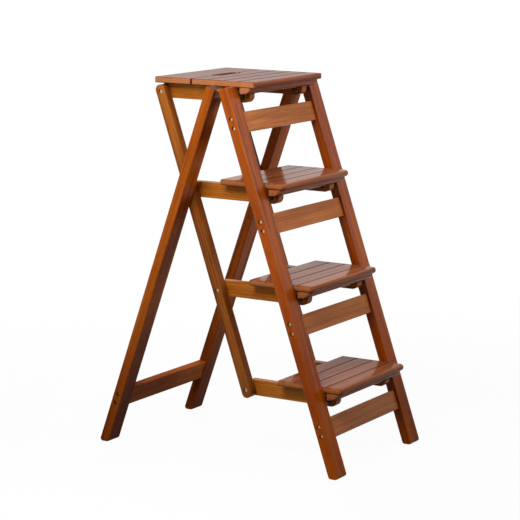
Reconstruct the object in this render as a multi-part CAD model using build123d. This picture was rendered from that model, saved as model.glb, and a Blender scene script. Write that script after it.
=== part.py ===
from build123d import *
import math
import os

# A wooden folding step stool. Two leaning stiles joined by rails carry three treads and a top
# platform on pivot bolts. Link bars behind keep the treads level, so that all four swing up
# together, and a rear frame on butt hinges at the top folds in behind the stiles.
# Millimetres. X runs across, Y to the back, Z up. The origin is on the floor below the middle.

# Stiles and rear legs
INNER_WIDTH = 315.4        # between the two stiles
STILE_WIDTH = 43.8         # across the stool
STILE_DEPTH = 23.5         # front to back, of stiles and legs, square to them
LEG_SPREAD = 2.0           # inner faces of the rear legs outside those of the stiles
LEG_WIDTH = 46.5           # across the stool
STILE_EASE = 2.0           # rounding of the long edges
TOP_EASE = 2.5             # rounding across the tops
FOOT_EASE = 6.5            # rounding across the feet
LEAN = 19.15               # degrees from upright, of both frames

# Steps
STEP_COUNT = 4             # three treads and the platform
FIRST_STEP = 196.0         # top of the lowest tread above the floor
STEP_RISE = 225.0
PIVOT_DROP = 34.0          # pivots below the tread's top
PIVOT_SPAN = 203.0         # from a tread's front pivot to its rear pivot
SIDE_GAP = 3.0             # from a board's end to the stile

# Boards
BOARD_THICKNESS = 14.0
TREAD_DEPTH = 167.5
NOSE_REACH = 49.0          # board's front edge in front of the front pivot
NOSE_RADIUS = 6.5          # bullnose along the front edge
END_EASE = 3.0             # rounding of the end edges
BOARD_EASE = 1.5           # rounding of the rear edges
FRONT_CORNER = 8.0
REAR_CORNER = 2.5
GROOVE_COUNT = 3
GROOVE_WIDTH = 3.4
GROOVE_DEPTH = 2.6
PLATFORM_GAP = 4.0         # between the platform's two boards
PLATFORM_REACH = 16.5      # platform's rear edge behind the rear pivot
HAND_SLOT_LENGTH = 106.0
HAND_SLOT_WIDTH = 28.0

# Bearers and battens under the boards
BEARER_THICKNESS = 22.0
BEARER_HEIGHT = 36.0
BEARER_FRONT = 21.5        # front end in front of the front pivot
BEARER_TAIL = 11.0         # rear end behind the rear pivot
TOE_RADIUS = 15.0          # lower front corner
TAIL_RADIUS = 9.0          # both rear corners
BEARER_EASE = 1.0
BATTEN_HEIGHT = 14.0
BATTEN_DEPTH = 17.5
BATTEN_SETBACK = 21.0      # front face behind the board's front edge
BATTEN_EASE = 3.0          # lower front edge

# Link bars
LINK_THICKNESS = 25.5
LINK_DEPTH = 24.2
LINK_EASE = 2.0
LINK_TOP = 16.5            # upper end above the platform's rear pivot, along the bar
LINK_FOOT = 18.5           # lower end below the lowest rear pivot, along the bar
LINK_GAP = 1.2             # to the stile's inner face

# Rails
RAIL_HEIGHT = 46.5         # along the stile
RAIL_DROP = 37.5           # upper edge below the front pivot, along the stile
RAIL_THICKNESS = 11.0
REAR_RAIL_DROP = 32.0      # upper edge below the lowest pivots' level, along the leg
REAR_RAIL_THICKNESS = 17.5
RAIL_EASE = 2.0

# Rail screws, two at each end of a rail, in counterbored holes
RAIL_SCREW_SPACING = 22.0
RAIL_SCREW_BITE = 30.0     # thread in the rail's end
RAIL_SCREW_RADIUS = 2.25
RAIL_HEAD_RADIUS = 4.4
RAIL_HEAD_HEIGHT = 3.0
RAIL_HEAD_EASE = 1.4
CROSS_LENGTH = 4.6         # recess for the screwdriver
CROSS_WIDTH = 1.1
CROSS_DEPTH = 1.5
COUNTERBORE_RADIUS = 5.0
COUNTERBORE_DEPTH = 4.0    # from the wood's face to the top of the screw head

# Pivot bolts, spacers, link bolts and washers
PIVOT_RADIUS = 4.0
PIVOT_HEAD_RADIUS = 7.0
PIVOT_HEAD_HEIGHT = 4.0
PIVOT_HEAD_EASE = 1.0
PIVOT_SINK_RADIUS = 7.8
PIVOT_SINK_DEPTH = 5.0     # head's seat below the bearer's inner face
PIVOT_BITE = 26.0          # bolt's end in the stile
SPACER_RADIUS = 8.0
LINK_BOLT_RADIUS = 3.0
LINK_HEAD_RADIUS = 6.0     # head inside the bearer
LINK_HEAD_HEIGHT = 3.0
LINK_CAP_RADIUS = 4.6      # head sunk in the link bar's outer face
LINK_CAP_HEIGHT = 2.5
LINK_SINK_RADIUS = 5.2
LINK_SINK_DEPTH = 3.5      # from the bar's face to the top of the sunk head
WASHER_RADIUS = 8.0
WASHER_THICKNESS = 2.5
RUNNING_FIT = 0.06         # radial, at every pivot
FACE_CLEARANCE = 0.3       # between faces that turn past each other

# Screws from below through the bearers into the boards
BOARD_SCREW_RADIUS = 2.0
BOARD_HEAD_RADIUS = 3.6
BOARD_HEAD_HEIGHT = 2.5
BOARD_HOLE_RADIUS = 4.0
BOARD_HOLE_DEPTH = 6.0     # from the bearer's underside to the screw head
BOARD_SCREW_BITE = 9.0     # thread in the board
BOARD_SCREW_FRONT = 24.0   # first screw behind the front pivot
BOARD_SCREW_INSET = 22.0   # last screw in front of the tread board's rear edge

# Butt hinges at the top
HINGE_RISE = 15.0          # hinge pin above the platform's pivots
STILE_RISE = 0.5           # square-cut tops above the hinge pin, along the stile
HINGE_GAP = 7.0            # between stile and leg when they lie together
HINGE_INSET = 4.5          # from the hinge's ends to the stile's edges
LEAF_HEIGHT = 20.0
LEAF_THICKNESS = 1.5
KNUCKLE_RADIUS = 3.0
KNUCKLE_COUNT = 3
PIN_RADIUS = 1.6
HINGE_SCREW_DROP = 10.0    # screws below the hinge pin
HINGE_SCREW_SPREAD = 18.0
HINGE_SCREW_RADIUS = 1.5
HINGE_SCREW_HEAD = 2.9
HINGE_SCREW_BITE = 14.0

SIDES = {"left": -1, "right": 1}
FRONT = -1                 # the stiles lie in front of the hinge pin
REAR = 1                   # the rear legs lie behind it
UPRIGHT_INNER = {FRONT: INNER_WIDTH / 2, REAR: INNER_WIDTH / 2 + LEG_SPREAD}
UPRIGHT_WIDTH = {FRONT: STILE_WIDTH, REAR: LEG_WIDTH}
RAIL_TOP = {FRONT: -RAIL_DROP, REAR: -REAR_RAIL_DROP}
RAIL_DEPTH = {FRONT: RAIL_THICKNESS, REAR: REAR_RAIL_THICKNESS}

# Heights and places worked out from the sizes above
SIN_LEAN = math.sin(math.radians(LEAN))
COS_LEAN = math.cos(math.radians(LEAN))
HINGE_HEIGHT = FIRST_STEP + (STEP_COUNT - 1) * STEP_RISE - PIVOT_DROP + HINGE_RISE
MID_DEPTH = HINGE_GAP / 2 + STILE_DEPTH / 2
STILE_X = INNER_WIDTH / 2 + STILE_WIDTH / 2
LINK_OUTER = INNER_WIDTH / 2 - LINK_GAP
LINK_INNER = LINK_OUTER - LINK_THICKNESS
BEARER_OUTER = LINK_INNER - WASHER_THICKNESS - FACE_CLEARANCE
BEARER_INNER = BEARER_OUTER - BEARER_THICKNESS
BEARER_X = (BEARER_INNER + BEARER_OUTER) / 2
BOARD_WIDTH = INNER_WIDTH - 2 * SIDE_GAP
PLATFORM_DEPTH = NOSE_REACH + PIVOT_SPAN + PLATFORM_REACH
PLATFORM = STEP_COUNT - 1
BEARER_TOP = PIVOT_DROP - BOARD_THICKNESS
BEARER_BOTTOM = BEARER_TOP - BEARER_HEIGHT
HINGE_WIDTH = STILE_WIDTH - 2 * HINGE_INSET


def pivot_z(step):
    """Height of a step's pivots above the floor; step 0 is the lowest tread."""
    return FIRST_STEP + step * STEP_RISE - PIVOT_DROP


def pivot_along(step):
    """Place of a step's front pivot along the stile's middle, from the hinge pin, upwards."""
    return (pivot_z(step) - HINGE_HEIGHT - MID_DEPTH * SIN_LEAN) / COS_LEAN


def pivot_y(step):
    return pivot_along(step) * SIN_LEAN - MID_DEPTH * COS_LEAN


def leaned(face, solid):
    """Put a frame's piece, drawn upright with the hinge pin at the origin, at its lean."""
    return Pos(0, 0, HINGE_HEIGHT) * Rot(face * LEAN, 0, 0) * solid


def at_step(step, solid):
    """Put a piece drawn from a step's front pivot in its place."""
    return Pos(0, pivot_y(step), pivot_z(step)) * solid


def across(profile, x_low, x_high):
    """Extrude a side profile, drawn with Y and Z, across the stool."""
    return extrude(Plane.YZ.offset(x_low) * profile, x_high - x_low)


def rod(radius, x_from, x_to):
    """A round bar along X between two places."""
    length = abs(x_to - x_from)
    return Pos((x_from + x_to) / 2, 0, 0) * Rot(0, 90, 0) * Cylinder(radius, length)


def headed(head, shank_radius, shank_length):
    """A screw from its head, which stands on the origin's plane, and its shank down along -Z."""
    shank = Cylinder(shank_radius, shank_length, align=(Align.CENTER, Align.CENTER, Align.MAX))
    return head + shank


def head_disc(radius, height):
    return Cylinder(radius, height, align=(Align.CENTER, Align.CENTER, Align.MIN))


def rail_screw_shank(face):
    """Length of a rail screw's shank below its head."""
    return UPRIGHT_WIDTH[face] - COUNTERBORE_DEPTH - RAIL_HEAD_HEIGHT + RAIL_SCREW_BITE


def rail_screw(face):
    """A pan-headed rail screw along -Z with a crossed recess, its head's seat at the origin."""
    head = head_disc(RAIL_HEAD_RADIUS, RAIL_HEAD_HEIGHT)
    head = fillet(head.edges().sort_by(Axis.Z)[-1], RAIL_HEAD_EASE)
    bottom = Pos(0, 0, RAIL_HEAD_HEIGHT - CROSS_DEPTH)
    align = (Align.CENTER, Align.CENTER, Align.MIN)
    slot = Box(CROSS_LENGTH, CROSS_WIDTH, CROSS_DEPTH, align=align)
    head = head - bottom * slot - bottom * Rot(0, 0, 90) * slot
    return headed(head, RAIL_SCREW_RADIUS, rail_screw_shank(face))


def rail_screw_hole(face):
    room = head_disc(COUNTERBORE_RADIUS, RAIL_HEAD_HEIGHT + COUNTERBORE_DEPTH)
    return headed(room, RAIL_SCREW_RADIUS, rail_screw_shank(face))


def rail_screw_places(face, rail_step):
    """Where one rail's screws go, each turned so that its shank points into the rail."""
    middle = pivot_along(rail_step) + RAIL_TOP[face] - RAIL_HEIGHT / 2
    seat = UPRIGHT_INNER[face] + UPRIGHT_WIDTH[face] - COUNTERBORE_DEPTH - RAIL_HEAD_HEIGHT
    places = []
    for side in SIDES.values():
        for offset in (-RAIL_SCREW_SPACING / 2, RAIL_SCREW_SPACING / 2):
            places.append(Pos(side * seat, face * MID_DEPTH, middle + offset) * Rot(0, side * 90, 0))
    return places


def at_rail_screws(face, rail_steps, solid):
    return [place * solid for step in rail_steps for place in rail_screw_places(face, step)]


def rail_screws(face, rail_steps):
    return at_rail_screws(face, rail_steps, rail_screw(face))


def rail_screw_holes(face, rail_steps):
    return at_rail_screws(face, rail_steps, rail_screw_hole(face))


def hinge_screw():
    """A countersunk screw with its head's top at the origin and its shank down along -Z."""
    head = Cone(HINGE_SCREW_RADIUS, HINGE_SCREW_HEAD, LEAF_THICKNESS,
                align=(Align.CENTER, Align.CENTER, Align.MAX))
    shank = Cylinder(HINGE_SCREW_RADIUS, HINGE_SCREW_BITE,
                     align=(Align.CENTER, Align.CENTER, Align.MAX))
    return head + Pos(0, 0, -LEAF_THICKNESS) * shank


def hinge_screws(face, side):
    """The screws that hold one leaf, driven from the gap into the wood."""
    surface = face * (HINGE_GAP / 2 - LEAF_THICKNESS)
    offsets = (-HINGE_SCREW_SPREAD / 2, HINGE_SCREW_SPREAD / 2)
    turned = Rot(face * 90, 0, 0) * hinge_screw()
    return [Pos(side * STILE_X + offset, surface, -HINGE_SCREW_DROP) * turned for offset in offsets]


def knuckle_span(side, index):
    """Low and high X of one knuckle of a hinge."""
    pitch = HINGE_WIDTH / KNUCKLE_COUNT
    low = side * STILE_X - HINGE_WIDTH / 2 + index * pitch
    return low + FACE_CLEARANCE / 2, low + pitch - FACE_CLEARANCE / 2


def hinge_leaf(face, side):
    """A leaf with its own knuckles: the even ones in front, the odd ones behind."""
    wood = face * HINGE_GAP / 2
    plate = Pos(side * STILE_X, wood - face * LEAF_THICKNESS / 2, -LEAF_HEIGHT / 2) * Box(
        HINGE_WIDTH, LEAF_THICKNESS, LEAF_HEIGHT)
    bore = PIN_RADIUS
    if face == REAR:
        bore = PIN_RADIUS + RUNNING_FIT
    for index in range(KNUCKLE_COUNT):
        low, high = knuckle_span(side, index)
        own = (index % 2 == 0) == (face == FRONT)
        if own:
            plate = plate + rod(KNUCKLE_RADIUS, low, high)
        else:
            room = rod(KNUCKLE_RADIUS + FACE_CLEARANCE, low - FACE_CLEARANCE, high + FACE_CLEARANCE)
            plate = plate - room
    pin_hole = rod(bore, side * STILE_X - HINGE_WIDTH, side * STILE_X + HINGE_WIDTH)
    return plate - pin_hole - hinge_screws(face, side)


def hinge_pin(side):
    low, high = side * STILE_X - HINGE_WIDTH / 2, side * STILE_X + HINGE_WIDTH / 2
    return rod(PIN_RADIUS, low, high)


def upright(face, side):
    """A stile or a rear leg, with its top cut square and its foot cut level with the floor."""
    length = (HINGE_HEIGHT + STILE_DEPTH + HINGE_GAP) / COS_LEAN
    width = UPRIGHT_WIDTH[face]
    middle_x = side * (UPRIGHT_INNER[face] + width / 2)
    bar = Box(width, STILE_DEPTH, length, align=(Align.CENTER, Align.CENTER, Align.MAX))
    bar = Pos(middle_x, face * MID_DEPTH, STILE_RISE) * bar
    bar = leaned(face, bar) - below_floor()
    bar = fillet(bar.faces().sort_by(Axis.Z)[0].edges().filter_by(Axis.X), FOOT_EASE)
    bar = fillet(bar.faces().sort_by(Axis.Z)[-1].edges().filter_by(Axis.X), TOP_EASE)
    bar = fillet(bar.faces().filter_by(Axis.X).edges(), STILE_EASE)
    return bar - leaned(face, group(upright_holes(face, side)))


def below_floor():
    align = (Align.CENTER, Align.CENTER, Align.MAX)
    return Box(INNER_WIDTH * 2, HINGE_HEIGHT * 2, HINGE_HEIGHT, align=align)


def upright_holes(face, side):
    """Holes for the rails' screws, the pivot bolts and the hinge's screws."""
    holes = hinge_screws(face, side)
    if face == FRONT:
        bolt_end = rod(PIVOT_RADIUS, 0, side * (INNER_WIDTH / 2 + PIVOT_BITE))
        holes += [Pos(0, -MID_DEPTH, pivot_along(step)) * bolt_end for step in range(STEP_COUNT)]
        return holes + rail_screw_holes(FRONT, range(STEP_COUNT))
    return holes + rail_screw_holes(REAR, [0])


def rail(face, step):
    """A rail between the stiles, or between the rear legs, below a step's pivot."""
    length = UPRIGHT_INNER[face] * 2
    bar = Box(length, RAIL_DEPTH[face], RAIL_HEIGHT, align=(Align.CENTER, Align.CENTER, Align.MAX))
    bar = fillet(bar.edges().filter_by(Axis.X), RAIL_EASE)
    bar = Pos(0, face * MID_DEPTH, pivot_along(step) + RAIL_TOP[face]) * bar
    return leaned(face, bar - rail_screw_holes(face, [step]))


def pivot_bolt(side):
    """A bolt through a bearer and its spacer into the stile, drawn from the front pivot."""
    seat = side * (BEARER_INNER + PIVOT_SINK_DEPTH - FACE_CLEARANCE)
    head = rod(PIVOT_HEAD_RADIUS, seat, seat - side * PIVOT_HEAD_HEIGHT)
    head = chamfer(head.edges().group_by(Axis.X)[0 if side > 0 else -1], PIVOT_HEAD_EASE)
    return head + rod(PIVOT_RADIUS, seat, side * (INNER_WIDTH / 2 + PIVOT_BITE))


def pivot_spacer(side):
    low, high = side * (BEARER_OUTER + FACE_CLEARANCE), side * INNER_WIDTH / 2
    return rod(SPACER_RADIUS, low, high) - rod(PIVOT_RADIUS, low, high)


def link_cap_span(side):
    """Inner and outer X of the link bolt's sunk head."""
    outer = LINK_OUTER - LINK_SINK_DEPTH
    return side * (outer - LINK_CAP_HEIGHT), side * outer


def link_bolt(side):
    """A bolt with one head inside the bearer and the other sunk in the link bar's outer face."""
    seat = side * (BEARER_INNER - FACE_CLEARANCE)
    head = rod(LINK_HEAD_RADIUS, seat, seat - side * LINK_HEAD_HEIGHT)
    cap_seat, cap_top = link_cap_span(side)
    return head + rod(LINK_BOLT_RADIUS, seat, cap_seat) + rod(LINK_CAP_RADIUS, cap_seat, cap_top)


def link_hole(side):
    cap_seat = link_cap_span(side)[0]
    return rod(LINK_BOLT_RADIUS, 0, cap_seat) + rod(LINK_SINK_RADIUS, cap_seat, side * LINK_OUTER)


def link_washer(side):
    low, high = side * (LINK_INNER - WASHER_THICKNESS), side * LINK_INNER
    return rod(WASHER_RADIUS, low, high) - rod(LINK_BOLT_RADIUS, low, high)


def at_rear_pivots(solid):
    return [at_step(step, Pos(0, PIVOT_SPAN, 0) * solid) for step in range(STEP_COUNT)]


def link_bar(side):
    """A bar with round ends, parallel to the stile, bored for the bolts of all four steps."""
    span = (pivot_z(PLATFORM) - pivot_z(0)) / COS_LEAN
    middle_y = (pivot_y(PLATFORM) + pivot_y(0)) / 2 + PIVOT_SPAN
    middle_z = (pivot_z(PLATFORM) + pivot_z(0)) / 2
    bar = across(SlotOverall(span + LINK_TOP + LINK_FOOT, LINK_DEPTH),
                 min(side * LINK_INNER, side * LINK_OUTER), max(side * LINK_INNER, side * LINK_OUTER))
    bar = fillet(bar.faces().filter_by(Axis.X).edges(), LINK_EASE)
    shift = (LINK_TOP - LINK_FOOT) / 2
    bar = Pos(0, middle_y, middle_z) * Rot(90 - LEAN, 0, 0) * Pos(0, shift, 0) * bar
    return bar - at_rear_pivots(link_hole(side))


def board(front, depth, nose_radius, front_corner, grooves):
    """A board across the stool; front is where its front edge lies, from the front pivot."""
    profile = Rectangle(depth, BOARD_THICKNESS)
    profile = fillet(profile.vertices().group_by(Axis.X)[0], nose_radius)
    profile = fillet(profile.vertices().group_by(Axis.X)[-1], BOARD_EASE)
    groove = Polygon((-GROOVE_WIDTH / 2, 0), (0, -GROOVE_DEPTH), (GROOVE_WIDTH / 2, 0), align=None)
    pitch = depth / (grooves + 1)
    for index in range(1, grooves + 1):
        profile -= Pos(index * pitch - depth / 2, BOARD_THICKNESS / 2) * groove
    solid = across(profile, -BOARD_WIDTH / 2, BOARD_WIDTH / 2)
    plan = Rectangle(BOARD_WIDTH, depth)
    plan = fillet(plan.vertices().group_by(Axis.Y)[0], front_corner)
    plan = fillet(plan.vertices().group_by(Axis.Y)[-1], REAR_CORNER)
    solid = solid & extrude(plan, BOARD_THICKNESS, both=True)
    ends = Rectangle(BOARD_WIDTH, BOARD_THICKNESS)
    solid = solid & extrude(Plane.XZ * fillet(ends.vertices(), END_EASE), depth, both=True)
    return Pos(0, front + depth / 2, BEARER_TOP + BOARD_THICKNESS / 2) * solid


def hand_slot():
    """The oblong hand hole on the gap between the platform's two boards."""
    middle = -NOSE_REACH + TREAD_DEPTH + PLATFORM_GAP / 2
    slot = extrude(SlotOverall(HAND_SLOT_LENGTH, HAND_SLOT_WIDTH), BOARD_THICKNESS * 2, both=True)
    return Pos(0, middle, BEARER_TOP + BOARD_THICKNESS / 2) * slot


def tread_board(step):
    solid = board(-NOSE_REACH, TREAD_DEPTH, NOSE_RADIUS, FRONT_CORNER, GROOVE_COUNT)
    if step == PLATFORM:
        solid = solid - hand_slot()
    return at_step(step, solid - board_screw_holes(step))


def platform_rear_board():
    front = -NOSE_REACH + TREAD_DEPTH + PLATFORM_GAP
    depth = PLATFORM_DEPTH - TREAD_DEPTH - PLATFORM_GAP
    solid = board(front, depth, BOARD_EASE, BOARD_EASE, 0)
    return at_step(PLATFORM, solid - hand_slot() - board_screw_holes(PLATFORM))


def batten_profile():
    middle = BATTEN_SETBACK - NOSE_REACH + BATTEN_DEPTH / 2
    return Pos(middle, BEARER_TOP - BATTEN_HEIGHT / 2) * Rectangle(BATTEN_DEPTH, BATTEN_HEIGHT)


def batten(step):
    """The strip under the nosing, let into the bearers and as long as the board is wide."""
    profile = batten_profile()
    corner = profile.vertices().sort_by(Axis.X)[:2].sort_by(Axis.Y)[0]
    return at_step(step, across(fillet(corner, BATTEN_EASE), -BOARD_WIDTH / 2, BOARD_WIDTH / 2))


def bearer(step, side):
    """A bar under the boards, turning on the pivot bolt in front and on the link bolt behind."""
    length = BEARER_FRONT + PIVOT_SPAN + BEARER_TAIL
    middle = Pos(length / 2 - BEARER_FRONT, BEARER_BOTTOM + BEARER_HEIGHT / 2)
    profile = middle * Rectangle(length, BEARER_HEIGHT)
    toe = profile.vertices().group_by(Axis.X)[0].sort_by(Axis.Y)[0]
    profile = fillet(toe, TOE_RADIUS)
    profile = fillet(profile.vertices().group_by(Axis.X)[-1], TAIL_RADIUS)
    low, high = sorted((side * BEARER_INNER, side * BEARER_OUTER))
    bar = across(profile, low, high)
    bar = chamfer(bar.faces().filter_by(Axis.X).edges(), BEARER_EASE)
    pivot_hole = rod(PIVOT_RADIUS + RUNNING_FIT, low, high)
    sink = rod(PIVOT_SINK_RADIUS, side * BEARER_INNER, side * (BEARER_INNER + PIVOT_SINK_DEPTH))
    link_bolt_hole = Pos(0, PIVOT_SPAN, 0) * rod(LINK_BOLT_RADIUS + RUNNING_FIT, low, high)
    notch = across(batten_profile(), low, high)
    return at_step(step, bar - [pivot_hole, sink, link_bolt_hole, notch] - board_screw_holes(step))


def board_screw(head_radius, head_height):
    """A screw pointing up into the boards, or with a wider and longer head its hole."""
    through = BEARER_HEIGHT - BOARD_HOLE_DEPTH - BOARD_HEAD_HEIGHT
    head = head_disc(head_radius, head_height)
    return Rot(180, 0, 0) * headed(head, BOARD_SCREW_RADIUS, through + BOARD_SCREW_BITE)


def board_screw_places(step):
    rows = [BOARD_SCREW_FRONT, TREAD_DEPTH - NOSE_REACH - BOARD_SCREW_INSET]
    if step == PLATFORM:
        rows.append((TREAD_DEPTH - NOSE_REACH + PLATFORM_GAP + PIVOT_SPAN + BEARER_TAIL) / 2)
    height = BEARER_BOTTOM + BOARD_HOLE_DEPTH + BOARD_HEAD_HEIGHT
    return [Pos(side * BEARER_X, row, height) for side in SIDES.values() for row in rows]


def board_screws(step):
    screw = board_screw(BOARD_HEAD_RADIUS, BOARD_HEAD_HEIGHT)
    return [at_step(step, place * screw) for place in board_screw_places(step)]


def board_screw_holes(step):
    hole = board_screw(BOARD_HOLE_RADIUS, BOARD_HEAD_HEIGHT + BOARD_HOLE_DEPTH)
    return [place * hole for place in board_screw_places(step)]


def group(solids):
    return Compound(children=list(solids))


def front_frame():
    nodes = {f"{name}_stile": upright(FRONT, side) for name, side in SIDES.items()}
    for step in range(STEP_COUNT):
        nodes[f"front_rail_{step + 1}"] = rail(FRONT, step)
    screws = rail_screws(FRONT, range(STEP_COUNT))
    nodes["front_rail_screws"] = group(leaned(FRONT, screw) for screw in screws)
    steps_and_sides = [(step, side) for step in range(STEP_COUNT) for side in SIDES.values()]
    nodes["pivot_bolts"] = group(at_step(step, pivot_bolt(side)) for step, side in steps_and_sides)
    nodes["pivot_spacers"] = group(at_step(step, pivot_spacer(side)) for step, side in steps_and_sides)
    for name, side in SIDES.items():
        nodes[f"{name}_front_hinge_leaf"] = leaned(FRONT, hinge_leaf(FRONT, side))
    nodes["hinge_pins"] = group(leaned(FRONT, hinge_pin(side)) for side in SIDES.values())
    screws = [screw for side in SIDES.values() for screw in hinge_screws(FRONT, side)]
    nodes["front_hinge_screws"] = group(leaned(FRONT, screw) for screw in screws)
    return nodes


def rear_frame():
    nodes = {f"{name}_rear_leg": upright(REAR, side) for name, side in SIDES.items()}
    nodes["rear_rail"] = rail(REAR, 0)
    nodes["rear_rail_screws"] = group(leaned(REAR, screw) for screw in rail_screws(REAR, [0]))
    for name, side in SIDES.items():
        nodes[f"{name}_rear_hinge_leaf"] = leaned(REAR, hinge_leaf(REAR, side))
    screws = [screw for side in SIDES.values() for screw in hinge_screws(REAR, side)]
    nodes["rear_hinge_screws"] = group(leaned(REAR, screw) for screw in screws)
    return nodes


def step_pieces(step):
    name = "platform" if step == PLATFORM else f"tread_{step + 1}"
    nodes = {f"{name}_board": tread_board(step), f"{name}_batten": batten(step)}
    if step == PLATFORM:
        nodes["platform_rear_board"] = platform_rear_board()
    for side_name, side in SIDES.items():
        nodes[f"{name}_{side_name}_bearer"] = bearer(step, side)
    nodes[f"{name}_board_screws"] = group(board_screws(step))
    return nodes


def links():
    nodes = {}
    for name, side in SIDES.items():
        nodes[f"{name}_link_bar"] = link_bar(side)
        nodes[f"{name}_link_bolts"] = group(at_rear_pivots(link_bolt(side)))
        nodes[f"{name}_link_washers"] = group(at_rear_pivots(link_washer(side)))
    return nodes


pieces = front_frame() | rear_frame() | links()
for step in range(STEP_COUNT):
    pieces |= step_pieces(step)

os.makedirs("parts", exist_ok=True)
for node, solid in pieces.items():
    export_step(solid, f"parts/{node}.step")
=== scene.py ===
import math
import random

import bmesh
import bpy
from mathutils import Matrix, Vector


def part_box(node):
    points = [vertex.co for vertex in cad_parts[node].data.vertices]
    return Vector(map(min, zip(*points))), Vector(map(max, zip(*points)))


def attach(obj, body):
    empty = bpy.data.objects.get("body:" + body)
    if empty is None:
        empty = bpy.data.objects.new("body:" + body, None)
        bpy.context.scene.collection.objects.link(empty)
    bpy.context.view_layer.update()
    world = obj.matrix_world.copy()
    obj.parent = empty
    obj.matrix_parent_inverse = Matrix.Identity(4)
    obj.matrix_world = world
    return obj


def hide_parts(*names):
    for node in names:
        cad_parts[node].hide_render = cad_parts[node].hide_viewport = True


# A folding step stool of reddish varnished wood with zinc-plated fittings, in metres.
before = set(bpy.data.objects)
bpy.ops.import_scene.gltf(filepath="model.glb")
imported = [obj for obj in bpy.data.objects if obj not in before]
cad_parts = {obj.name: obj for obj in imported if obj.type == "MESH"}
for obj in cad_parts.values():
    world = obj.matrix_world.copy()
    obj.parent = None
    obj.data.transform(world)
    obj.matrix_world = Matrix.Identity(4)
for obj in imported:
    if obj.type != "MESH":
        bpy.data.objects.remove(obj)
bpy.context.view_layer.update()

# Pieces
SIDES = ("left", "right")
TREADS = ("tread_1", "tread_2", "tread_3")
STEPS = TREADS + ("platform",)
RAIL_COUNT = 4

# Camera
CAMERA_PLACE = (-4.0703, -2.4581, 1.2834)
CAMERA_AZIMUTH = -58.82
CAMERA_PITCH = 10.08
CAMERA_ROLL = 0.41
CAMERA_LENS = 142.1        # millimetres, on the sensor below
SENSOR_WIDTH = 36.0

# Directions
LEAN = math.radians(19.15)
ACROSS = Vector((1, 0, 0))
FORE_AND_AFT = Vector((0, 1, 0))
UP = Vector((0, 0, 1))
UP_THE_STILE = Vector((0, math.sin(LEAN), math.cos(LEAN)))
UP_THE_LEG = Vector((0, -math.sin(LEAN), math.cos(LEAN)))

# Growth rings
RING_SPACING = 0.0052
RING_WANDER = 0.016        # how far the pith strays along a piece
PITH_NEAR = 0.03
PITH_FAR = 0.09
RING_RIPPLE = 0.7          # in ring spacings
LATE_WOOD_EDGE = 2.5       # how sharply each ring darkens outward

# Waves a metre, along the grain and the two ways across it
WANDER_WAVES = (2.2, 3.0, 3.0)
RIPPLE_WAVES = (6, 60, 60)
MOTTLE_WAVES = (4, 22, 22)
STREAK_WAVES = (2.5, 90, 90)
FIBRE_WAVES = (14, 650, 650)
PORE_WAVES = (45, 1100, 1100)
FIBRE_HARSHNESS = 0.65
PORE_SPAN = (0.62, 0.74)
SEED_REACH = 9             # how far apart the pieces lie in the waves

# Tone of the wood, from 0 for dark to 1 for light
DARK_TONE = 0.12
MIDDLE_TONE = 0.52
LIGHT_TONE = 0.9
PLANK_TONES = (0.53, 0.63)
MOTTLE_TONE = 0.8
STREAK_TONE = 0.8
FIBRE_TONE = 0.5
LATE_WOOD_TONE = 0.22
END_GRAIN_FACING = (0.7, 0.95)
END_GRAIN_SHARE = 0.95
END_GRAIN_RINGS = 0.5
PORE_DARKNESS = 0.45

# Surface of the wood
WOOD_ROUGHNESS = 0.42
FIBRE_ROUGHNESS = 0.16
GRAIN_DEPTH = 0.0003
GRAIN_STRENGTH = 0.35
FIBRE_HEIGHT = 0.5
PORE_HEIGHT = 0.8
LATE_WOOD_HEIGHT = 0.25
PORE_DULLNESS = 0.35       # varnish missing in a pore
GROOVE_DULLNESS = 0.7      # varnish missing in a groove
LEG_DARK_BELOW = 0.45      # painted shade darkens rear legs and link bars from here to the floor
WORN_BELOW = 0.55          # the varnish thins from here to the floor
WORN_SHARE = 0.65          # how much of it is gone at the floor

# Painted shade in the grooves and over their lips, as where it starts to change and where that ends
GROOVE_COUNT = 3
GROOVE_LIP = (0.001, 0.0042)      # from a groove's middle
GROOVE_FLOOR = (0.0028, 0.0033)   # below the board's top
EDGE_MARGIN = (0.009, 0.012)      # from the front and rear edges
END_MARGIN = (0.003, 0.006)       # from the ends
# how strongly painted shade darkens the grooves of each kind of board
TREAD_SHADE_STRENGTH = 0.55
PLATFORM_SHADE_STRENGTH = 1.0
GROOVED_BOARDS = {f"{tread}_board": TREAD_SHADE_STRENGTH for tread in TREADS}
GROOVED_BOARDS["platform_board"] = PLATFORM_SHADE_STRENGTH

# Fittings
BLOTCH_WAVES = (160, 160, 160)
BLOTCH_SPAN = (0.35, 0.7)
SCRATCH_WAVES = (900, 900, 5200)
SCRATCH_ROUGHNESS = 0.14
SCRATCH_STRENGTH = 0.12
SCRATCH_DEPTH = 0.0001
BLOTCH_TARNISH = 0.5
FLOOR_DULLING = 0.5        # fittings darker near the floor
DULLER_BELOW = 0.75     # the fittings are duller from here to the floor

# Rounded pieces
ROUND_STEPS = 10
SHARP_EDGE = math.radians(35)
STRIP_FORWARD = 0.0125     # how far a nosing strip stands in front of its batten
STRIP_CORNER = 0.013       # front corners, seen from above
STRIP_ROUND = 0.012        # lower front edge
NOSE_RADIUS = 0.0065
BOARD_CORNER = 0.013       # front corners, seen from above
BOARD_END_ROUND = 0.0055   # top and bottom edges of the ends
REAR_EASE = 0.0015
GROOVE_HALF_WIDTH = 0.0017
GROOVE_DEPTH = 0.0026

# Stage
WHITE = (1, 1, 1, 1)
FLOOR_RADIUS = 40.0
FLOOR_SIDES = 96
FLOOR_BOUNCE = (0.14, 0.14, 0.14, 1)
FLOOR_LIT = (0.9, 0.9, 0.9, 1)
AMBIENT_STRENGTH = 0.12
BACKGROUND_SHARE = 0.95    # how much of the floor near the stool looks plain white rather than lit
PLAIN_FLOOR = (0.7, 2.0)   # distances over which the floor turns plain white


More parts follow.
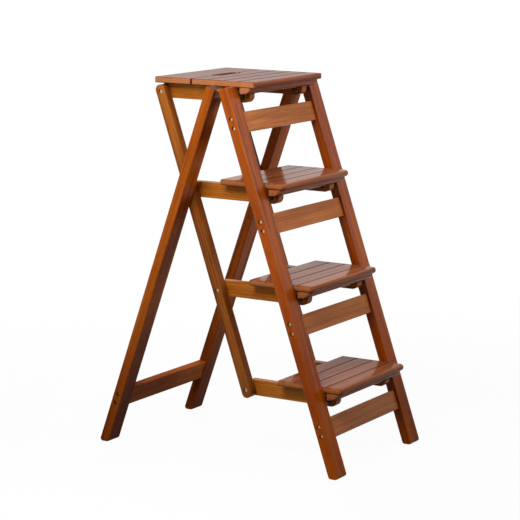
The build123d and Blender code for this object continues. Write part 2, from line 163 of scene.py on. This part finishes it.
def srgb(red, green, blue):
    """A colour from its 0 to 255 screen values."""
    def linear(level):
        share = level / 255
        return share / 12.92 if share <= 0.04045 else ((share + 0.055) / 1.055) ** 2.4
    return (linear(red), linear(green), linear(blue), 1.0)


class Value:
    """A node's output, with the arithmetic that a finish is written in."""

    def __init__(self, finish, socket):
        self.finish = finish
        self.socket = socket

    def maths(self, operation, *others):
        return self.finish.maths(operation, self, *others)

    def __add__(self, other):
        return self.finish.maths("ADD", self, other)

    def __radd__(self, other):
        return self.finish.maths("ADD", other, self)

    def __sub__(self, other):
        return self.finish.maths("SUBTRACT", self, other)

    def __rsub__(self, other):
        return self.finish.maths("SUBTRACT", other, self)

    def __mul__(self, other):
        return self.finish.maths("MULTIPLY", self, other)

    def __rmul__(self, other):
        return self.finish.maths("MULTIPLY", other, self)

    def __truediv__(self, other):
        return self.finish.maths("DIVIDE", self, other)

    def __pow__(self, other):
        return self.finish.maths("POWER", self, other)

    def rise(self, low, high):
        """0 below low and 1 above high, with a smooth rise between."""
        settings = {"interpolation_type": "SMOOTHSTEP"}
        return self.finish.node("ShaderNodeMapRange", settings,
                                {"Value": self, "From Min": low, "From Max": high})


class Finish:
    """A material, or the world, built from nodes."""

    def __init__(self, owner):
        owner.use_nodes = True
        self.tree = owner.node_tree
        self.tree.nodes.clear()

    def node(self, kind, settings=None, inputs=None, output=0):
        """Add a node: its settings first, then the values or links of its sockets."""
        made = self.tree.nodes.new(kind)
        for name, setting in (settings or {}).items():
            if name == "stops":
                self.set_stops(made.color_ramp, setting)
            else:
                setattr(made, name, setting)
        for name, value in (inputs or {}).items():
            if isinstance(value, Value):
                self.tree.links.new(value.socket, made.inputs[name])
            else:
                made.inputs[name].default_value = value
        if len(made.outputs) == 0:
            return None
        return Value(self, made.outputs[output])

    @staticmethod
    def set_stops(ramp, stops):
        while len(ramp.elements) < len(stops):
            ramp.elements.new(1.0)
        for element, (position, colour) in zip(ramp.elements, stops):
            element.position = position
            element.color = colour

    def maths(self, operation, *values):
        return self.node("ShaderNodeMath", {"operation": operation}, dict(enumerate(values)))

    def vector(self, operation, first, second, output="Vector"):
        return self.node("ShaderNodeVectorMath", {"operation": operation}, {0: first, 1: second}, output)

    def noise(self, place, stretch, detail=2.0, roughness=0.5):
        """Noise from 0 to 1 at a place, with its own number of waves a metre each way."""
        stretched = self.vector("MULTIPLY", place, stretch)
        return self.node("ShaderNodeTexNoise", None,
                         {"Vector": stretched, "Scale": 1.0, "Detail": detail, "Roughness": roughness})

    def mixed(self, blend, factor, first, second):
        """Two colours mixed: sockets 0, 6 and 7 of the node are its factor and colours."""
        settings = {"data_type": "RGBA", "blend_type": blend}
        return self.node("ShaderNodeMix", settings, {0: factor, 6: first, 7: second}, output=2)

    def along(self, place, axis):
        """How far a place lies along an axis."""
        return self.vector("DOT_PRODUCT", place, axis, "Value")

    def bump(self, height, strength, distance):
        return self.node("ShaderNodeBump", None,
                         {"Strength": strength, "Distance": distance, "Height": height})

    def surface(self, shader):
        self.node("ShaderNodeOutputMaterial", None, {"Surface": shader})


class Stain:
    """The look of a group of wooden pieces: dark, middle and light wood, end grain and varnish."""

    def __init__(self, wood, varnish):
        dark, middle, light, self.end_grain = wood
        self.stops = [(DARK_TONE, dark), (MIDDLE_TONE, middle), (LIGHT_TONE, light)]
        self.varnish, self.varnish_ior, self.varnish_roughness = varnish


# painted shade for the grooves of the boards and their lips
GROOVE_PAINTED_SHADE = srgb(110, 90, 84)
# painted shade laid over rear legs and link bars near the floor
FOOT_PAINTED_SHADE = srgb(190, 176, 168)
PORE_SHADE = srgb(120, 78, 60)
STILE_WOOD = (srgb(108, 37, 1), srgb(166, 74, 2), srgb(192, 100, 8), srgb(110, 48, 10))
RAIL_WOOD = (srgb(138, 68, 20), srgb(182, 101, 36), srgb(204, 126, 56), srgb(130, 70, 30))
LEG_WOOD = (srgb(94, 37, 8), srgb(164, 79, 18), srgb(188, 104, 32), srgb(90, 40, 14))
BOARD_WOOD = (srgb(106, 53, 29), srgb(146, 81, 48), srgb(174, 109, 67), srgb(170, 102, 54))
PLATFORM_WOOD = (srgb(98, 50, 32), srgb(136, 74, 50), srgb(164, 100, 70), srgb(190, 122, 74))
BEARER_WOOD = (srgb(128, 66, 10), srgb(172, 98, 26), srgb(196, 126, 48), srgb(158, 88, 38))
LINK_WOOD = (srgb(90, 43, 12), srgb(160, 88, 30), srgb(184, 112, 46), srgb(136, 72, 26))
STILE_STAIN = Stain(STILE_WOOD, (0.95, 1.26, 0.22))
RAIL_STAIN = Stain(RAIL_WOOD, (0.9, 1.24, 0.28))
LEG_STAIN = Stain(LEG_WOOD, (0.6, 1.2, 0.3))
TREAD_STAIN = Stain(BOARD_WOOD, (0.8, 1.15, 0.12))
LOW_TREAD_STAIN = Stain(BOARD_WOOD, (0.62, 1.15, 0.12))
PLATFORM_STAIN = Stain(PLATFORM_WOOD, (0.55, 1.15, 0.12))
BEARER_STAIN = Stain(BEARER_WOOD, (0.7, 1.2, 0.25))
LINK_STAIN = Stain(LINK_WOOD, (0.7, 1.2, 0.25))
STEP_STAINS = {
    "tread_1": LOW_TREAD_STAIN,
    "tread_2": TREAD_STAIN,
    "tread_3": TREAD_STAIN,
    "platform": PLATFORM_STAIN,
}


def groove_shade_mask(finish, place, low, high):
    """1 in the grooves of a board's top, fading out over their lips: where painted shade goes."""
    depth = high.y - low.y
    pitch = depth / (GROOVE_COUNT + 1)
    from_nose = finish.along(place, FORE_AND_AFT) - low.y
    from_groove = (from_nose / pitch - 0.5).maths("FRACT") * pitch - pitch / 2
    near = 1.0 - from_groove.maths("ABSOLUTE").rise(*GROOVE_LIP)
    on_top = 1.0 - (high.z - finish.along(place, UP)).rise(*GROOVE_FLOOR)
    from_end = (high.x - low.x) / 2 - finish.along(place, ACROSS).maths("ABSOLUTE")
    inside = from_nose.rise(*EDGE_MARGIN) * (depth - from_nose).rise(*EDGE_MARGIN)
    return near * on_top * inside * from_end.rise(*END_MARGIN)


def near_floor(finish, place, height):
    """1 at the floor, falling to 0 at a height."""
    return 1.0 - finish.along(place, UP).rise(0.0, height)


def varnished_wood(node, grain, stain):
    """Clear varnish on stained wood, with growth rings about a pith that lies off the piece."""
    draw = random.Random(node)
    material = bpy.data.materials.new(f"{node}_varnish")
    finish = Finish(material)
    low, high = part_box(node)
    place = finish.node("ShaderNodeTexCoord", output="Object")
    shift = Vector([draw.uniform(-SEED_REACH, SEED_REACH) for axis in range(3)])
    centred = finish.vector("SUBTRACT", place, (low + high) / 2)
    side = FORE_AND_AFT if grain == ACROSS else ACROSS
    axes = (grain, side, grain.cross(side))
    lengths = [finish.along(centred, axis) for axis in axes]
    in_grain = finish.node("ShaderNodeCombineXYZ", None, dict(enumerate(lengths)))
    seeded = finish.vector("ADD", in_grain, shift)

    turn = draw.uniform(0, 2 * math.pi)
    reach = draw.uniform(PITH_NEAR, PITH_FAR)
    wander = finish.noise(seeded, WANDER_WAVES, 1.0) - 0.5
    off_side = lengths[1] - reach * math.cos(turn) + wander * RING_WANDER
    off_depth = lengths[2] - reach * math.sin(turn) + wander * RING_WANDER
    radius = (off_side * off_side + off_depth * off_depth).maths("SQRT")
    ripple = finish.noise(seeded, RIPPLE_WAVES, 2.0) * RING_RIPPLE
    late_wood = (radius / RING_SPACING + ripple).maths("FRACT") ** LATE_WOOD_EDGE
    mottle = finish.noise(seeded, MOTTLE_WAVES, 3.0)
    streaks = finish.noise(seeded, STREAK_WAVES, 2.0)
    fibres = finish.noise(seeded, FIBRE_WAVES, 3.0, FIBRE_HARSHNESS)
    pores = finish.noise(seeded, PORE_WAVES, 1.0).rise(*PORE_SPAN)

    plank = draw.uniform(*PLANK_TONES)
    figure = (mottle - 0.5) * MOTTLE_TONE + (streaks - 0.5) * STREAK_TONE + (fibres - 0.5) * FIBRE_TONE
    tone = plank + figure - late_wood * LATE_WOOD_TONE
    colour = finish.node("ShaderNodeValToRGB", {"stops": stain.stops}, {"Fac": tone})
    facing = finish.node("ShaderNodeTexCoord", output="Normal")
    end = finish.along(facing, grain).maths("ABSOLUTE").rise(*END_GRAIN_FACING)
    end_tone = end * (END_GRAIN_SHARE - late_wood * END_GRAIN_RINGS)
    colour = finish.mixed("MIX", end_tone, colour, stain.end_grain)
    colour = finish.mixed("MULTIPLY", pores * PORE_DARKNESS, colour, PORE_SHADE)
    coat = (1.0 - pores * PORE_DULLNESS) * stain.varnish
    # painted shade darkens the grooves and their lips, and the varnish there is thinner
    if node in GROOVED_BOARDS:
        groove = groove_shade_mask(finish, place, low, high) * GROOVED_BOARDS[node]
        colour = finish.mixed("MULTIPLY", groove, colour, GROOVE_PAINTED_SHADE)
        coat = coat * (1.0 - groove * GROOVE_DULLNESS)
    # painted shade darkens rear legs and link bars towards the floor
    if node.endswith(("_leg", "_link_bar")):
        foot = near_floor(finish, place, LEG_DARK_BELOW)
        colour = finish.mixed("MULTIPLY", foot, colour, FOOT_PAINTED_SHADE)
    if node.endswith(("_leg", "_stile", "rear_rail")):
        worn = near_floor(finish, place, WORN_BELOW)
        coat = coat * (1.0 - worn * WORN_SHARE)
    height = fibres * FIBRE_HEIGHT - pores * PORE_HEIGHT - late_wood * LATE_WOOD_HEIGHT
    shader = finish.node("ShaderNodeBsdfPrincipled", None, {
        "Base Color": colour,
        "Roughness": WOOD_ROUGHNESS + fibres * FIBRE_ROUGHNESS,
        "Specular IOR Level": 0.0,
        "Coat Weight": coat,
        "Coat Roughness": stain.varnish_roughness,
        "Coat IOR": stain.varnish_ior,
        "Normal": finish.bump(height, GRAIN_STRENGTH, GRAIN_DEPTH),
    })
    finish.surface(shader)
    return material


def fitting_steel(name, colour, tarnish, roughness):
    """A metal fitting with fine scratches and a blotchy tarnish, and darker towards the floor."""
    material = bpy.data.materials.new(name)
    finish = Finish(material)
    place = finish.node("ShaderNodeTexCoord", output="Object")
    blotches = finish.noise(place, BLOTCH_WAVES, 3.0)
    scratches = finish.noise(place, SCRATCH_WAVES, 2.0)
    low_down = near_floor(finish, place, DULLER_BELOW)
    dull = blotches.rise(*BLOTCH_SPAN) * BLOTCH_TARNISH + low_down * FLOOR_DULLING
    shader = finish.node("ShaderNodeBsdfPrincipled", None, {
        "Base Color": finish.mixed("MIX", dull, colour, tarnish),
        "Metallic": 1.0,
        "Roughness": roughness + scratches * SCRATCH_ROUGHNESS,
        "Normal": finish.bump(scratches, SCRATCH_STRENGTH, SCRATCH_DEPTH),
    })
    finish.surface(shader)
    return material


def wooden_pieces():
    """Each wooden node with its grain's direction and its stain."""
    pieces = {}
    for side in SIDES:
        pieces[f"{side}_stile"] = (UP_THE_STILE, STILE_STAIN)
        pieces[f"{side}_rear_leg"] = (UP_THE_LEG, LEG_STAIN)
        pieces[f"{side}_link_bar"] = (UP_THE_STILE, LINK_STAIN)
    for number in range(1, RAIL_COUNT + 1):
        pieces[f"front_rail_{number}"] = (ACROSS, RAIL_STAIN)
    pieces["rear_rail"] = (ACROSS, LEG_STAIN)
    for step, stain in STEP_STAINS.items():
        pieces[f"{step}_board"] = (ACROSS, stain)
        pieces[f"{step}_batten"] = (ACROSS, stain)
        for side in SIDES:
            pieces[f"{step}_{side}_bearer"] = (FORE_AND_AFT, BEARER_STAIN)
    pieces["platform_rear_board"] = (ACROSS, PLATFORM_STAIN)
    return pieces


def dress(node, material):
    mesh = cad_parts[node].data
    mesh.materials.clear()
    mesh.materials.append(material)


def dress_nodes():
    """Give each node its wood or steel."""
    screw_steel = fitting_steel("screw_steel", srgb(236, 214, 176), srgb(150, 122, 88), 0.24)
    link_steel = fitting_steel("link_steel", srgb(206, 186, 150), srgb(116, 104, 76), 0.28)
    hinge_steel = fitting_steel("hinge_steel", srgb(150, 136, 110), srgb(104, 90, 70), 0.32)
    dull_steel = fitting_steel("dull_steel", srgb(150, 118, 90), srgb(104, 78, 56), 0.4)
    # pivot bolts and spacers get a dark brown finish that also stands as painted shade for the shadow
    # they sit in beside the bearers
    browned_and_shade_steel = fitting_steel("browned_and_shade_steel", srgb(66, 38, 24), srgb(44, 26, 18), 0.45)
    wooden = wooden_pieces()
    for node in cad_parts:
        if node in wooden:
            dress(node, varnished_wood(node, *wooden[node]))
        elif "hinge" in node:
            dress(node, hinge_steel)
        elif node.startswith("pivot"):
            dress(node, browned_and_shade_steel)
        elif "link" in node:
            dress(node, link_steel)
        elif "rear" in node:
            dress(node, dull_steel)
        else:
            dress(node, screw_steel)


def ringed_piece(name, rings, node, step):
    """A closed piece through rings of points, which takes the place and the finish of a node."""
    shape = bmesh.new()
    loops = [[shape.verts.new(point) for point in ring] for ring in rings]
    for loop, following in zip(loops, loops[1:]):
        for index in range(len(loop)):
            shape.faces.new((loop[index - 1], loop[index], following[index], following[index - 1]))
    shape.faces.new(loops[0])
    shape.faces.new(reversed(loops[-1]))
    bmesh.ops.recalc_face_normals(shape, faces=shape.faces)
    mesh = bpy.data.meshes.new(name)
    shape.to_mesh(mesh)
    shape.free()
    mesh.shade_smooth()
    mesh.set_sharp_from_angle(angle=SHARP_EDGE)
    mesh.materials.append(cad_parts[node].data.materials[0])
    piece = bpy.data.objects.new(name, mesh)
    bpy.context.scene.collection.objects.link(piece)
    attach(piece, step)
    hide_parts(node)


def round_corner(radius):
    """Points of a rounded corner, as distances from the two sides that meet there."""
    angles = [math.pi / 2 * index / ROUND_STEPS for index in range(ROUND_STEPS + 1)]
    return [(radius * (1 - math.cos(angle)), radius * (1 - math.sin(angle))) for angle in angles]


def nosing_strip(step):
    """The quarter-round strip under a step's nosing, which turns in at its two front corners."""
    batten = f"{step}_batten"
    low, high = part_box(batten)
    front = low.y - STRIP_FORWARD
    corner = round_corner(STRIP_CORNER)
    stations = [(low.x + inward, front + back) for inward, back in corner]
    stations += [(high.x - inward, front + back) for inward, back in reversed(corner)]
    rings = []
    for x, face in stations:
        ring = [(x, high.y, high.z), (x, face, high.z)]
        ring += [(x, face + back, low.z + up) for back, up in round_corner(STRIP_ROUND)]
        ring.append((x, high.y, low.z))
        rings.append(ring)
    ringed_piece(f"{step}_nosing_strip", rings, batten, step)


def board_outline(depth, half):
    """A grooved board from the side: places behind its front edge and above its middle, nose first."""
    front = round_corner(NOSE_RADIUS)
    rear = round_corner(REAR_EASE)
    nose = [(back, up - half) for up, back in front]
    nose += [(back, half - down) for back, down in front]
    pitch = depth / (GROOVE_COUNT + 1)
    rest = []
    for number in range(1, GROOVE_COUNT + 1):
        middle = number * pitch
        rest.append((middle - GROOVE_HALF_WIDTH, half))
        rest.append((middle, half - GROOVE_DEPTH))
        rest.append((middle + GROOVE_HALF_WIDTH, half))
    rest += [(depth - back, half - down) for down, back in rear]
    rest += [(depth - back, up - half) for back, up in rear]
    return nose, rest


def rounded_board(tread):
    """A tread's board with its nosing carried round the two front corners and its ends."""
    node = f"{tread}_board"
    low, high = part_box(node)
    half = (high.z - low.z) / 2
    middle = (high.z + low.z) / 2
    nose, rest = board_outline(high.y - low.y, half)
    stations = []
    for inward, back in round_corner(BOARD_CORNER):
        reach = max(BOARD_END_ROUND - inward, 0.0)
        thin = BOARD_END_ROUND - math.sqrt(BOARD_END_ROUND ** 2 - reach ** 2)
        stations.append((inward, back, (half - thin) / half))
    places = [(low.x + inward, back, share) for inward, back, share in stations]
    places += [(high.x - inward, back, share) for inward, back, share in reversed(stations)]
    rings = []
    for x, back, share in places:
        ring = [(x, low.y + behind + back, middle + up * share) for behind, up in nose]
        ring += [(x, low.y + behind, middle + up * share) for behind, up in rest]
        rings.append(ring)
    ringed_piece(f"{tread}_rounded_board", rings, node, tread)


def seen_directly(finish):
    """1 for rays that show the background: straight, mirrored or through glass."""
    rays = [finish.node("ShaderNodeLightPath", output=f"Is {kind} Ray")
            for kind in ("Camera", "Glossy", "Transmission")]
    return rays[0].maths("MAXIMUM", rays[1]).maths("MAXIMUM", rays[2])


def lay_floor():
    """A floor that shows the stool's shadow close by and is plain white further out."""
    bpy.ops.mesh.primitive_circle_add(vertices=FLOOR_SIDES, radius=FLOOR_RADIUS, fill_type="NGON")
    floor = bpy.context.object
    floor.name = "floor"
    material = bpy.data.materials.new("floor_white")
    finish = Finish(material)
    bounce = finish.node("ShaderNodeBsdfDiffuse", None, {"Color": FLOOR_BOUNCE})
    lit = finish.node("ShaderNodeBsdfDiffuse", None, {"Color": FLOOR_LIT})
    plain = finish.node("ShaderNodeEmission", None, {"Color": WHITE, "Strength": 1.0})
    place = finish.node("ShaderNodeTexCoord", output="Object")
    away = finish.vector("DISTANCE", place, (0.0, 0.0, 0.0), "Value").rise(*PLAIN_FLOOR)
    share = BACKGROUND_SHARE + away * (1.0 - BACKGROUND_SHARE)
    shown = finish.node("ShaderNodeMixShader", None, {0: share, 1: lit, 2: plain})
    seen = seen_directly(finish)
    finish.surface(finish.node("ShaderNodeMixShader", None, {0: seen, 1: bounce, 2: shown}))
    floor.data.materials.append(material)


def light_world():
    """White to look at, and a faint even light on the stool."""
    world = bpy.data.worlds.new("studio")
    bpy.context.scene.world = world
    finish = Finish(world)
    ambient = finish.node("ShaderNodeBackground", None, {"Color": WHITE, "Strength": AMBIENT_STRENGTH})
    white = finish.node("ShaderNodeBackground", None, {"Color": WHITE, "Strength": 1.0})
    shown = finish.node("ShaderNodeMixShader", None, {0: seen_directly(finish), 1: ambient, 2: white})
    finish.node("ShaderNodeOutputWorld", None, {"Surface": shown})


def softbox(name, place, aim, size, watts, mirrored=True, spread=180):
    """A round lamp out of sight, with its spread in degrees; gloss shows it where it is mirrored."""
    lamp = bpy.data.lights.new(name, "AREA")
    lamp.shape = "DISK"
    lamp.size = size
    lamp.energy = watts
    lamp.spread = math.radians(spread)
    holder = bpy.data.objects.new(name, lamp)
    holder.location = place
    holder.rotation_euler = (Vector(aim) - Vector(place)).to_track_quat("-Z", "Y").to_euler()
    holder.visible_camera = False
    holder.visible_glossy = mirrored
    bpy.context.scene.collection.objects.link(holder)


def light_stool():
    softbox("key", (-1.25, -0.15, 1.65), (-0.1, 0, 0.55), 0.9, 22.5)
    softbox("side_fill", (-1.5, 0.15, 0.7), (0, 0, 0.55), 0.9, 3.5, mirrored=False)
    softbox("front_fill", (0.7, -1.3, 1.25), (0, -0.1, 0.8), 0.9, 3.1, spread=80)
    softbox("overhead", (0.1, -0.5, 2.6), (0, -0.1, 0.5), 1.8, 2.2)
    softbox("rear_fill", (1.6, 1.3, 1.3), (0, 0, 0.45), 1.2, 22, mirrored=False)


def place_camera():
    """The photograph's view: its place, direction, slight roll and lens."""
    azimuth = math.radians(CAMERA_AZIMUTH)
    pitch = math.radians(CAMERA_PITCH)
    forward = Vector((-math.sin(azimuth) * math.cos(pitch), math.cos(azimuth) * math.cos(pitch),
                      -math.sin(pitch)))
    level = Vector((math.cos(azimuth), math.sin(azimuth), 0))
    upright = level.cross(forward)
    tilt = math.radians(CAMERA_ROLL)
    right = level * math.cos(tilt) + upright * math.sin(tilt)
    up = upright * math.cos(tilt) - level * math.sin(tilt)
    lens = bpy.data.cameras.new("camera")
    lens.lens = CAMERA_LENS
    lens.sensor_width = SENSOR_WIDTH
    camera = bpy.data.objects.new("camera", lens)
    turn = Matrix((right, up, -forward)).transposed().to_4x4()
    camera.matrix_world = Matrix.Translation(CAMERA_PLACE) @ turn
    bpy.context.scene.collection.objects.link(camera)
    bpy.context.scene.camera = camera


dress_nodes()
for step in STEPS:
    nosing_strip(step)
for tread in TREADS:
    rounded_board(tread)
lay_floor()
light_world()
light_stool()
place_camera()
bpy.context.scene.view_settings.view_transform = "Standard"
